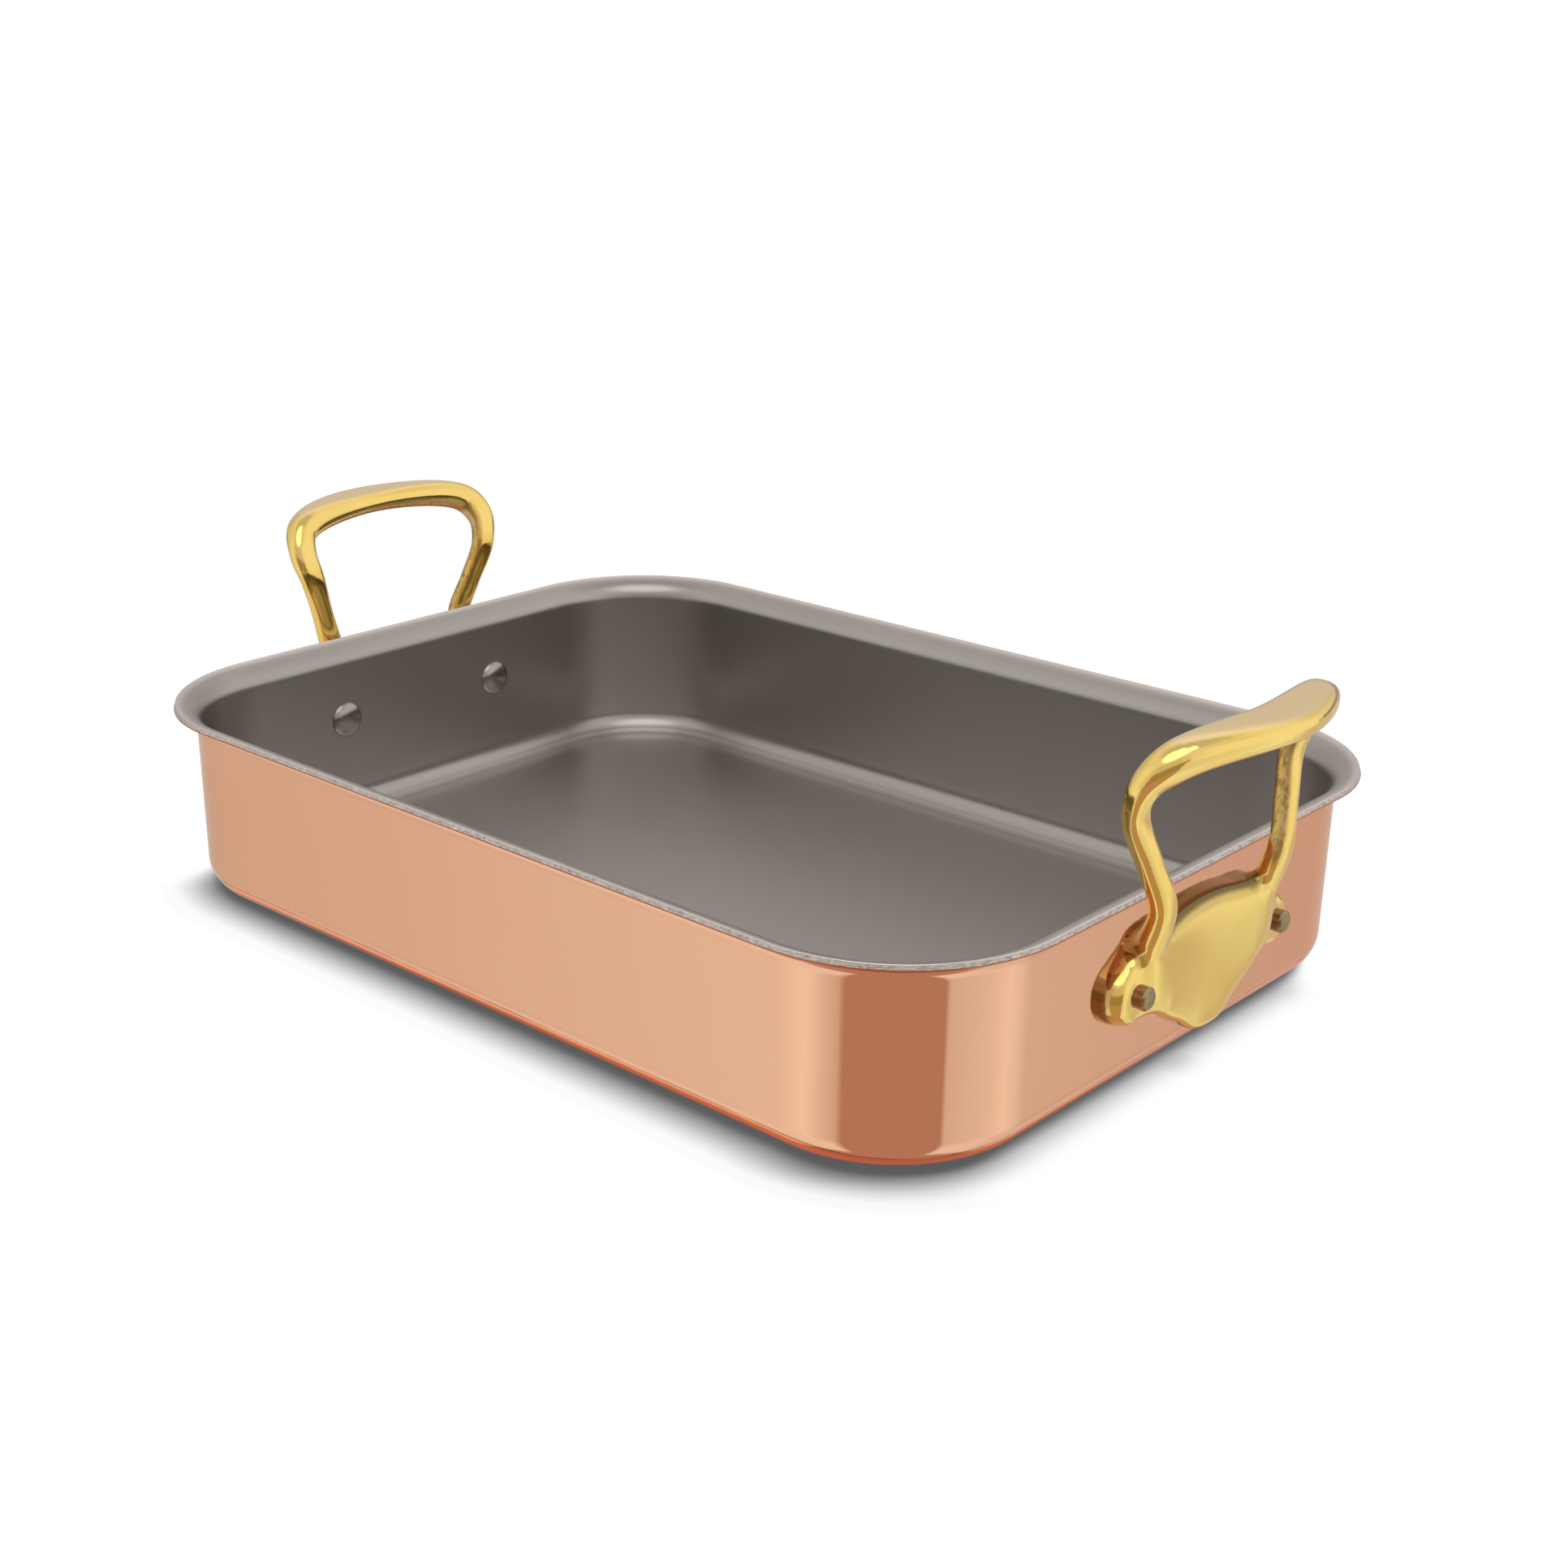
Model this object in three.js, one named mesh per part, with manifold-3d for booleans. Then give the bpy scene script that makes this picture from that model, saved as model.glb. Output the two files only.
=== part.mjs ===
// Roasting pan: a rectangular pan pressed from a bonded sheet of copper, aluminium and stainless
// steel, with two cast brass loop handles on its short ends, each held by two rivets.
// Millimetres, +Z up. The origin is the middle of the base and X runs from handle to handle.

import * as THREE from 'three';
import { mergeVertices } from 'three/addons/utils/BufferGeometryUtils.js';
import Module from 'manifold-3d';

const wasm = await Module();
wasm.setup();

// Pan body: outside sizes of the straight wall, at the base
const PAN_LENGTH = 350;
const PAN_WIDTH = 250;
const PAN_HEIGHT = 67.2; // from the base to the upper edge of the lip
const CORNER_RADIUS = 48; // corners in plan, outside
const FLOOR_FILLET = 9.6; // between floor and wall, outside
const WALL_DRAFT = 0.3; // degrees that the wall opens upward

// Bonded sheet, from the outside in
const COPPER_THICKNESS = 0.35;
const ALUMINIUM_THICKNESS = 1.26;
const STEEL_THICKNESS = 0.35;
const BOND_LINE = 0.02; // between two layers

// Flared lip, measured on its steel side
const LIP_BEND = 7.8; // radius of the bend from wall to lip
const LIP_FLAT = 3.7; // straight part beyond the bend
const LIP_TILT = 18; // degrees that the straight part climbs outward

// Rivets
const RIVET_SPACING = 75.4; // between the two rivets of one handle
const RIVET_HEIGHT = 37.4; // above the base
const SHANK_DIAMETER = 7.2;
const HEAD_DIAMETER = 13.6;
const HEAD_HEIGHT = 2.2;
const TAIL_LENGTH = 3.5; // what stands out of the handle's ear
const TAIL_CHAMFER = 0.7;
const FIT_GAP = 0.3; // clearance round a rivet and behind a seated face
const DRILL_LENGTH = 60; // of the rod that cuts a rivet's holes

// Handle plate on the wall: two ears and the boss between them, which is thickest at its tongue
const EAR_RADIUS = 9; // round a rivet
const EAR_THICKNESS = 9.8;
const EAR_ROUND = 3.6; // rounded front edge of the ears
const HIP_RADIUS = 4; // where an ear's upper edge turns in under a leg
const BOSS_WIDTH = 67;
const BOSS_CROWN = 18.9; // saddle edge above the rivets, between the legs
const BOSS_SADDLE = 5; // how far that edge arches above the legs' inner sides
const SADDLE_FALL = 1.25; // what it has dropped halfway to a leg
const FLANK_DROP = 4.5; // end of the boss's upright flanks, below the rivets
const FLANK_TURN = 10.8; // where the flanks have turned in half way to the tongue
const BOSS_DROP = 22.3; // tip of the tongue below the rivets
const TONGUE_WIDTH = 28; // of the tongue, near its tip
const TONGUE_SIDE = 5.4; // end of the tongue's sides, above its tip
const TIP_CURVE = 0.9; // how far the tip bulges below its corners
const CROWN_THICKNESS = 8.2;
const TONGUE_THICKNESS = 13;
const BOSS_ROUND = 3.6; // rounded front edge of the boss
const BOSS_SWELL = 1.4; // rise of its face toward the middle
const SWELL_START = 30; // degrees round the swell's section, from the boss's rim
const SWELL_END = 82;
const BOSS_DISH = 4.2; // extra thickness under the legs, which leaves the saddle dished

// Handle loop: spreads are between the centre lines of its two legs, rises are above the lip and
// reaches are from the wall to the centre line
const ROOT_SPREAD = 56;
const ROOT_DROP = 27; // below the lip, where a leg has faded into the plate
const ROOT_WIDTH = 21;
const FOOT_SPREAD = 62.4;
const FOOT_DROP = 15.6; // below the lip, where a leg leaves the plate
const FOOT_REACH = 9.2;
const FOOT_WIDTH = 11.4;
const FOOT_DEPTH = 8.4;
const WAIST_SPREAD = 64.4; // where the legs pass the lip
const LIP_CLEARANCE = 1.7; // between the lip and the legs
const SHOULDER_SPREAD = 85.2;
const SHOULDER_RISE = 26;
const SHOULDER_REACH = 8.2;
const BEND_SPREAD = 87.6;
const BEND_RISE = 35.2;
const BEND_REACH = 11.8;
const CORNER_SPREAD = 78;
const CORNER_RISE = 42.2;
const CORNER_REACH = 16.2;
const GRIP_RISE = 45.9;
const GRIP_REACH = 25.4;
const LEG_WIDTH = 10; // at the waist and the shoulders, seen from the end of the pan
const LEG_DEPTH = 7.4;
const NECK_WIDTH = 8.6; // midway between waist and shoulder
const BEND_WIDTH = 11;
const BEND_DEPTH = 8.6;
const CORNER_DEPTH = 11.2;
const GRIP_HEIGHT = 8.8;
const GRIP_DEPTH = 18.2;
const LEG_SQUARENESS = 2.1; // exponent of the oval sections, where 2 is an ellipse
const GRIP_SQUARENESS = 2.8;

// Facet counts
const CORNER_STEPS = 8; // round one corner of the pan
const BEND_STEPS = 5; // round a fillet or the lip's bend
const LOOP_STEPS = 48;
const SECTION_POINTS = 14;
const OUTLINE_POINTS = 44;
const EAR_STEPS = 10; // round an ear
const ROUND_STEPS = 4; // round the front edge of the handle plate
const RIVET_STEPS = 20;

const SHEET = COPPER_THICKNESS + ALUMINIUM_THICKNESS + STEEL_THICKNESS + 2 * BOND_LINE;
const DRAFT = THREE.MathUtils.degToRad(WALL_DRAFT);
const TILT = THREE.MathUtils.degToRad(LIP_TILT);

function metal(color, roughness) {
  return new THREE.MeshStandardMaterial({ color, roughness, metalness: 1 });
}

const materials = {
  copper: metal(0xd9a688, 0.18),
  aluminium: metal(0x9b9997, 0.5),
  steel: metal(0x86807a, 0.38),
  brass: metal(0xe3c56c, 0.2),
  rivet: metal(0x8d7f5c, 0.35),
};

// A closed geometry from rings of equal length, with a fan over the first and the last ring.
function loft(rings) {
  const count = rings[0].length;
  const middle = (ring) => ring.reduce((sum, p) => sum.add(p), new THREE.Vector3()).divideScalar(count);
  const points = [...rings.flat(), middle(rings[0]), middle(rings.at(-1))];
  const first = points.length - 2;
  const last = points.length - 1;
  const faces = [];
  for (let side = 0; side < count; side++) {
    const next = (side + 1) % count;
    for (let level = 0; level + 1 < rings.length; level++) {
      const low = level * count;
      const high = low + count;
      faces.push([low + side, low + next, high + next], [low + side, high + next, high + side]);
    }
    const top = (rings.length - 1) * count;
    faces.push([first, next, side], [last, top + side, top + next]);
  }
  const volume = faces.reduce((sum, [a, b, c]) => sum + points[a].dot(points[b].clone().cross(points[c])), 0);
  const geometry = new THREE.BufferGeometry().setFromPoints(points);
  geometry.setIndex(faces.flatMap(([a, b, c]) => (volume > 0 ? [a, b, c] : [a, c, b])));
  return geometry;
}

function solid(source) {
  const bare = source.clone();
  bare.deleteAttribute('normal');
  bare.deleteAttribute('uv');
  const merged = mergeVertices(bare, 1e-5);
  return new wasm.Manifold(new wasm.Mesh({
    numProp: 3,
    vertProperties: Float32Array.from(merged.attributes.position.array),
    triVerts: Uint32Array.from(merged.index.array),
  }));
}

function geometryOf(body) {
  const mesh = body.getMesh();
  const geometry = new THREE.BufferGeometry();
  geometry.setAttribute('position', new THREE.BufferAttribute(mesh.vertProperties, 3));
  geometry.setIndex(new THREE.BufferAttribute(mesh.triVerts, 1));
  geometry.computeVertexNormals();
  return geometry;
}

function steps(from, to, count) {
  return Array.from({ length: count + 1 }, (_, i) => from + ((to - from) * i) / count);
}

// Frame on the outside of an end wall: its origin is level with the rivets, X points straight out
// of the drafted wall, Y runs along the wall and Z runs up it. Side +1 is the right end, -1 the left.
function wallFrame(side) {
  const wall = new THREE.Group();
  wall.position.set(PAN_LENGTH / 2 + RIVET_HEIGHT * Math.tan(DRAFT), 0, RIVET_HEIGHT);
  wall.rotation.y = DRAFT;
  const end = new THREE.Group();
  end.rotation.z = side > 0 ? 0 : Math.PI;
  end.add(wall);
  end.updateMatrixWorld(true);
  return { end, wall, side };
}

const frames = { left: wallFrame(-1), right: wallFrame(1) };
const rivetPlaces = { front: -RIVET_SPACING / 2, back: RIVET_SPACING / 2 };

// Centre of the lip's bend, as an offset from the wall's base line and a height
const bendHeight = PAN_HEIGHT - LIP_BEND * Math.cos(TILT) - LIP_FLAT * Math.sin(TILT);
const bendOffset = bendHeight * Math.tan(DRAFT) + (LIP_BEND - SHEET) / Math.cos(DRAFT);

// Section of the sheet at a depth below its copper face: offset and height, floor to lip edge.
function sheetProfile(depth) {
  const filletOffset = FLOOR_FILLET * (Math.tan(DRAFT) - 1 / Math.cos(DRAFT));
  const fillet = steps(-Math.PI / 2, -DRAFT, BEND_STEPS).map((angle) => [
    filletOffset + (FLOOR_FILLET - depth) * Math.cos(angle),
    FLOOR_FILLET + (FLOOR_FILLET - depth) * Math.sin(angle),
  ]);
  const radius = LIP_BEND - SHEET + depth;
  const bend = steps(Math.PI - DRAFT, Math.PI / 2 + TILT, BEND_STEPS).map((angle) => [
    bendOffset + radius * Math.cos(angle),
    bendHeight + radius * Math.sin(angle),
  ]);
  const [offset, height] = bend.at(-1);
  const edge = [offset + LIP_FLAT * Math.cos(TILT), height + LIP_FLAT * Math.sin(TILT)];
  return [...fillet, ...bend, edge];
}

// Rounded rectangle in plan, moved out from the wall's base line by an offset.
function planRing([offset, height]) {
  const radius = CORNER_RADIUS + offset;
  const straightX = PAN_LENGTH / 2 - CORNER_RADIUS;
  const straightY = PAN_WIDTH / 2 - CORNER_RADIUS;
  const corners = [[1, 1], [-1, 1], [-1, -1], [1, -1]];
  return corners.flatMap(([signX, signY], quarter) =>
    steps(quarter, quarter + 1, CORNER_STEPS).map((turn) => new THREE.Vector3(
      signX * straightX + radius * Math.cos((turn * Math.PI) / 2),
      signY * straightY + radius * Math.sin((turn * Math.PI) / 2),
      height,
    )));
}

// One rod along each rivet's axis, long enough to pass the sheet and the handle plate.
function rivetRod(radius) {
  return new THREE.CylinderGeometry(radius, radius, DRILL_LENGTH, RIVET_STEPS).rotateZ(-Math.PI / 2);
}

function drill(body, places, toBody) {
  const rod = rivetRod(SHANK_DIAMETER / 2 + FIT_GAP);
  return places.reduce((left, y) => {
    const cutter = rod.clone().translate(0, y, 0);
    return left.subtract(solid(toBody ? cutter.applyMatrix4(toBody) : cutter));
  }, body);
}

// A layer of the sheet between two depths, with the holes of all four rivets.
function sheetLayer(outerDepth, innerDepth) {
  const outer = sheetProfile(outerDepth).map(planRing);
  const inner = sheetProfile(innerDepth).map(planRing).reverse();
  let body = solid(loft([...outer, ...inner]));
  for (const { wall } of Object.values(frames)) {
    body = drill(body, Object.values(rivetPlaces), wall.matrixWorld);
  }
  return geometryOf(body);
}

// The ears: a plate with round ends about the two rivets, whose upper edge climbs to the legs.
function earPlate() {
  const hip = new THREE.Vector2(FOOT_SPREAD / 2, BOSS_CROWN - BOSS_SADDLE - HIP_RADIUS);
  const rivet = new THREE.Vector2(RIVET_SPACING / 2, 0);
  const climb = hip.clone().sub(rivet);
  const turn = climb.angle() - Math.acos((EAR_RADIUS - HIP_RADIUS) / climb.length());
  const arc = (centre, radius, from, to) => steps(from, to, EAR_STEPS).map((angle) => (
    new THREE.Vector2(radius, 0).rotateAround(new THREE.Vector2(), angle).add(centre)
  ));
  const ring = (reach, inset) => {
    const lobe = arc(rivet, EAR_RADIUS - inset, -Math.PI / 2, turn);
    const right = [...lobe, ...arc(hip, HIP_RADIUS - inset, turn, Math.PI / 2).slice(1)];
    const left = right.map(({ x, y }) => new THREE.Vector2(-x, y)).reverse();
    return [...right, ...left].map(({ x, y }) => new THREE.Vector3(reach, x, y));
  };
  const rounded = steps(0, Math.PI / 2, ROUND_STEPS).map((angle) => ring(
    EAR_THICKNESS - EAR_ROUND * (1 - Math.sin(angle)),
    EAR_ROUND * (1 - Math.cos(angle)),
  ));
  return loft([ring(FIT_GAP, 0), ...rounded]);
}

// The boss: a saddle edge between the legs above, flanks that meet the ears and a tongue below.
function boss() {
  const half = BOSS_WIDTH / 2;
  const tongue = TONGUE_WIDTH / 2;
  const right = [
    [half / 2, BOSS_CROWN - SADDLE_FALL],
    [half, BOSS_CROWN - BOSS_SADDLE],
    [half, -FLANK_DROP],
    [(half + tongue) / 2, -FLANK_TURN],
    [tongue, TONGUE_SIDE - BOSS_DROP],
    [tongue / 2, TIP_CURVE - BOSS_DROP],
  ];
  const left = right.map(([y, z]) => [-y, z]).reverse();
  const places = [[0, BOSS_CROWN], ...right, [0, -BOSS_DROP], ...left];
  const corners = places.map(([y, z]) => new THREE.Vector3(0, y, z));
  const outline = new THREE.CatmullRomCurve3(corners, true).getPoints(OUTLINE_POINTS).slice(1);
  const face = (y, z) => {
    const down = (BOSS_CROWN - z) / (BOSS_CROWN + BOSS_DROP);
    const dish = BOSS_DISH * (1 - down) * (y / half) ** 2;
    return THREE.MathUtils.lerp(CROWN_THICKNESS, TONGUE_THICKNESS, down) + dish;
  };
  const ring = (share, rise) => outline.map(({ y, z }) => (
    new THREE.Vector3(face(y * share, z * share) + rise, y * share, z * share)
  ));
  const rounded = steps(0, Math.PI / 2, ROUND_STEPS).map((angle) => ring(
    1 - (BOSS_ROUND / BOSS_DROP) * (1 - Math.cos(angle)),
    BOSS_ROUND * (Math.sin(angle) - 1),
  ));
  const swellFrom = THREE.MathUtils.degToRad(SWELL_START);
  const swellTo = THREE.MathUtils.degToRad(SWELL_END);
  const swell = steps(swellFrom, swellTo, ROUND_STEPS - 1).map((angle) => (
    ring(Math.cos(angle) * (1 - BOSS_ROUND / BOSS_DROP), BOSS_SWELL * Math.sin(angle))
  ));
  const seat = outline.map(({ y, z }) => new THREE.Vector3(FIT_GAP, y, z));
  return loft([seat, ...rounded, ...swell]);
}

// The loop: an oval bar that climbs from the plate past the lip, spreads at the shoulders and bows
// outward into a broad, flat grip. Each station holds a place, a width, a depth and a squareness.
function loop() {
  const lip = PAN_HEIGHT - RIVET_HEIGHT;
  const lipEdge = sheetProfile(0).at(-1)[0] - PAN_HEIGHT * Math.tan(DRAFT);
  const waistReach = lipEdge + LIP_CLEARANCE + LEG_DEPTH / 2;
  const waist = [WAIST_SPREAD, lip - LIP_BEND / 2, waistReach, LEG_WIDTH, LEG_DEPTH, LEG_SQUARENESS];
  const shoulder = [
    SHOULDER_SPREAD, lip + SHOULDER_RISE, SHOULDER_REACH, LEG_WIDTH, LEG_DEPTH, LEG_SQUARENESS,
  ];
  const neck = waist.map((value, i) => (value + shoulder[i]) / 2).with(3, NECK_WIDTH);
  const leg = [
    [ROOT_SPREAD, lip - ROOT_DROP, CROWN_THICKNESS / 2, ROOT_WIDTH, FOOT_DEPTH, LEG_SQUARENESS],
    [FOOT_SPREAD, lip - FOOT_DROP, FOOT_REACH, FOOT_WIDTH, FOOT_DEPTH, LEG_SQUARENESS],
    waist,
    neck,
    shoulder,
    [BEND_SPREAD, lip + BEND_RISE, BEND_REACH, BEND_WIDTH, BEND_DEPTH, LEG_SQUARENESS],
    [CORNER_SPREAD, lip + CORNER_RISE, CORNER_REACH, BEND_WIDTH, CORNER_DEPTH, LEG_SQUARENESS],
  ];
  const grip = [0, lip + GRIP_RISE, GRIP_REACH, GRIP_HEIGHT, GRIP_DEPTH, GRIP_SQUARENESS];
  const otherLeg = leg.map(([spread, ...rest]) => [-spread, ...rest]).reverse();
  const stations = [...leg, grip, ...otherLeg];
  const places = stations.map(([spread, rise, reach]) => new THREE.Vector3(reach, spread / 2, rise));
  const line = new THREE.CatmullRomCurve3(places);
  const size = new THREE.CatmullRomCurve3(stations.map((station) => new THREE.Vector3(...station.slice(3))));
  const out = new THREE.Vector3(1, 0, 0);
  const rings = steps(0, 1, LOOP_STEPS).map((t) => {
    const centre = line.getPoint(t);
    const along = line.getTangent(t);
    const outside = along.clone().cross(out).normalize();
    const across = outside.clone().cross(along);
    const { x: width, y: depth, z: square } = size.getPoint(t);
    const bulge = (v) => Math.sign(v) * Math.abs(v) ** (2 / square);
    return steps(0, 2 * Math.PI, SECTION_POINTS).slice(1).map((angle) => (
      centre.clone()
        .addScaledVector(outside, (width / 2) * bulge(Math.cos(angle)))
        .addScaledVector(across, (depth / 2) * bulge(Math.sin(angle)))
    ));
  });
  return loft(rings);
}

function handleGeometry() {
  const casting = solid(earPlate()).add(solid(boss())).add(solid(loop()));
  return geometryOf(drill(casting, Object.values(rivetPlaces)));
}

// A rivet turned about its axis: a low domed head inside the pan and a chamfered tail outside.
function rivetGeometry() {
  const seat = -SHEET - FIT_GAP;
  const end = EAR_THICKNESS + TAIL_LENGTH;
  const shank = SHANK_DIAMETER / 2;
  const dome = steps(0, Math.PI / 2, ROUND_STEPS).map((angle) => new THREE.Vector2(
    (HEAD_DIAMETER / 2) * Math.sin(angle),
    seat - HEAD_HEIGHT * Math.cos(angle),
  ));
  const stem = [[shank, seat], [shank, end - TAIL_CHAMFER], [shank - TAIL_CHAMFER, end], [0, end]];
  const profile = [...dome, ...stem.map(([r, x]) => new THREE.Vector2(r, x))];
  return new THREE.LatheGeometry(profile, RIVET_STEPS).rotateZ(-Math.PI / 2);
}

function piece(name, geometry, material) {
  const mesh = new THREE.Mesh(geometry, material);
  mesh.name = name;
  return mesh;
}

const pan = new THREE.Group();
const coreDepth = COPPER_THICKNESS + BOND_LINE;
const liningDepth = SHEET - STEEL_THICKNESS;
pan.add(piece('copper_shell', sheetLayer(0, COPPER_THICKNESS), materials.copper));
pan.add(piece('aluminium_core', sheetLayer(coreDepth, liningDepth - BOND_LINE), materials.aluminium));
pan.add(piece('steel_lining', sheetLayer(liningDepth, SHEET), materials.steel));

for (const [end, frame] of Object.entries(frames)) {
  frame.wall.add(piece(`handle_${end}`, handleGeometry(), materials.brass));
  for (const [place, y] of Object.entries(rivetPlaces)) {
    const rivet = piece(`rivet_${end}_${place}`, rivetGeometry(), materials.rivet);
    rivet.position.y = frame.side * y;
    frame.wall.add(rivet);
  }
  pan.add(frame.end);
}

export default pan;
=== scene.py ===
import math

import bmesh
import bpy
from mathutils import Matrix, Vector
from mathutils.geometry import interpolate_bezier


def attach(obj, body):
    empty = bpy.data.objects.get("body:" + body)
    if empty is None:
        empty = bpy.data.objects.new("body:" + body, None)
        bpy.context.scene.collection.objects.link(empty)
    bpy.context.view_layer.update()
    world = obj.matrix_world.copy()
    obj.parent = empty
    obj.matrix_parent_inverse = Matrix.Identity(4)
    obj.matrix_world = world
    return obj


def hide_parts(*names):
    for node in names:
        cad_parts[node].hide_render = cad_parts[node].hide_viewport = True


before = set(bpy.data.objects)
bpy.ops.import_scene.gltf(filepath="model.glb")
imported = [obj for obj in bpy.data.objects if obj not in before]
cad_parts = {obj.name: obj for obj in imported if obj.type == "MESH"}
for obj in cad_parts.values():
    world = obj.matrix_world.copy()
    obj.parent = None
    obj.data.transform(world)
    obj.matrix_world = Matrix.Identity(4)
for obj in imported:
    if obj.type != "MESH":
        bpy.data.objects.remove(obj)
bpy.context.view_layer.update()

# Copper shell: the outer layer of the bonded sheet, drawn in a press and buffed to a mirror.
# Its wall rises from a rounded base edge, leans out a little and flares into the lip.

MM = 0.001
PAN_LENGTH = 350 * MM
PAN_WIDTH = 250 * MM
PAN_HEIGHT = 67.2 * MM
CORNER_RADIUS = 48 * MM
FLOOR_FILLET = 9.6 * MM
WALL_DRAFT = math.radians(0.3)
SHEET = 2.0 * MM
COPPER_THICKNESS = 0.35 * MM
LIP_BEND = 7.8 * MM
LIP_FLAT = 3.7 * MM
LIP_TILT = math.radians(18)
STRAIGHT_X = PAN_LENGTH / 2 - CORNER_RADIUS
STRAIGHT_Y = PAN_WIDTH / 2 - CORNER_RADIUS
CORNER_STEPS = 40
BEND_STEPS = 16
SUPPORT = 0.6 * MM
COPPER_EDGE = 0.08 * MM
EDGE_STEPS = 4
SHARP_ANGLE = math.radians(50)
# Heights of painted shade on the copper: a reddish band along the base edge, lower at the corners, a
# darker band at the foot and a band under the lip. A thin dark line runs just above the base band.
BASE_SHADE_HEIGHT = 6.6 * MM
BASE_SHADE_DIP = 1.5 * MM
BAND_FADE = 0.2 * MM
CORNER_BLEND = 28 * MM
DARK_LINE_LOW = 6.5 * MM
DARK_LINE_HIGH = 7.1 * MM
FOOT_SHADE_HEIGHT = 4.4 * MM
LIP_SHADE_LOW = 65 * MM
LIP_SHADE_HIGH = 65.3 * MM


def pressed_layer(depth):
    """The sheet's surface at a depth under its copper face, swept round the pan from one section."""
    lean = math.tan(WALL_DRAFT)
    slant = math.cos(WALL_DRAFT)
    bend_height = PAN_HEIGHT - LIP_BEND * math.cos(LIP_TILT) - LIP_FLAT * math.sin(LIP_TILT)
    bend_out = bend_height * lean + (LIP_BEND - SHEET) / slant
    foot = Vector((PAN_LENGTH / 2, STRAIGHT_Y, 0))
    fillet = foot + Vector((FLOOR_FILLET * (lean - 1 / slant), 0, FLOOR_FILLET))
    bend = foot + Vector((bend_out, 0, bend_height))
    wall = Vector((math.sin(WALL_DRAFT), 0, math.cos(WALL_DRAFT)))
    lip = Vector((math.cos(LIP_TILT), 0, math.sin(LIP_TILT)))

    shape = bmesh.new()
    tip = shape.verts.new(fillet + Vector((0, 0, depth - FLOOR_FILLET)))

    def turn(tip, centre, angle):
        arc = bmesh.ops.spin(
            shape, geom=[tip], cent=centre, axis=(0, 1, 0), angle=angle, steps=BEND_STEPS
        )
        return next(item for item in arc["geom_last"] if isinstance(item, bmesh.types.BMVert))

    def run(tip, place):
        tip = bmesh.ops.extrude_vert_indiv(shape, verts=[tip])["verts"][0]
        tip.co = place
        return tip

    tip = turn(tip, fillet, WALL_DRAFT - math.pi / 2)
    tip = run(tip, tip.co + wall * SUPPORT)
    radius = LIP_BEND - SHEET + depth
    wall_top = bend - radius * Vector((math.cos(WALL_DRAFT), 0, -math.sin(WALL_DRAFT)))
    tip = run(tip, wall_top - wall * SUPPORT)
    tip = run(tip, wall_top)
    tip = turn(tip, bend, math.pi / 2 - WALL_DRAFT - LIP_TILT)
    tip = run(tip, tip.co + lip * SUPPORT)
    tip = run(tip, tip.co + lip * (LIP_FLAT - 2 * SUPPORT))
    tip = run(tip, tip.co + lip * SUPPORT)

    section = [*shape.verts, *shape.edges]
    heading = Vector((0, -1, 0))
    quarter = Matrix.Rotation(-math.pi / 2, 3, "Z")
    centre = Vector((STRAIGHT_X, -STRAIGHT_Y, 0))
    for straight, other in ((STRAIGHT_Y, STRAIGHT_X), (STRAIGHT_X, STRAIGHT_Y)) * 2:
        for stretch in (SUPPORT, 2 * straight - 2 * SUPPORT, SUPPORT):
            section = bmesh.ops.spin(
                shape, geom=section, axis=(0, 0, 1), dvec=heading * stretch, angle=0, steps=1
            )["geom_last"]
        section = bmesh.ops.spin(
            shape, geom=section, cent=centre, axis=(0, 0, 1), angle=-math.pi / 2, steps=CORNER_STEPS
        )["geom_last"]
        heading = quarter @ heading
        centre = centre + heading * 2 * other
    bmesh.ops.remove_doubles(shape, verts=shape.verts, dist=SUPPORT / 100)

    rim = [edge for edge in shape.edges if edge.is_boundary and edge.verts[0].co.z < FLOOR_FILLET]
    floor = bmesh.ops.contextual_create(shape, geom=rim)["faces"]
    bmesh.ops.inset_region(shape, faces=floor, thickness=SUPPORT, use_even_offset=True)
    bmesh.ops.recalc_face_normals(shape, faces=shape.faces)
    shape.normal_update()
    if max(shape.faces, key=lambda face: face.calc_area()).normal.z > 0:
        bmesh.ops.reverse_faces(shape, faces=shape.faces)
    return shape


def piece(name, shape, node):
    """A finished shape as an object that rides on the pan and stands for its node."""
    mesh = bpy.data.meshes.new(name)
    shape.to_mesh(mesh)
    shape.free()
    mesh.shade_smooth()
    thing = bpy.data.objects.new(name, mesh)
    bpy.context.scene.collection.objects.link(thing)
    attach(thing, "root")
    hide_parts(node)
    return thing


def thicken(thing, thickness):
    """Gives a layer its thickness, inward from its surface."""
    wall = thing.modifiers.new("thickness", "SOLIDIFY")
    wall.thickness = thickness
    wall.offset = -1
    wall.use_even_offset = True


def break_edges(thing, width):
    """Takes the sharpness off a layer's cut edges."""
    edge = thing.modifiers.new("edge", "BEVEL")
    edge.width = width
    edge.segments = EDGE_STEPS
    edge.limit_method = "ANGLE"
    edge.angle_limit = SHARP_ANGLE


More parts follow.
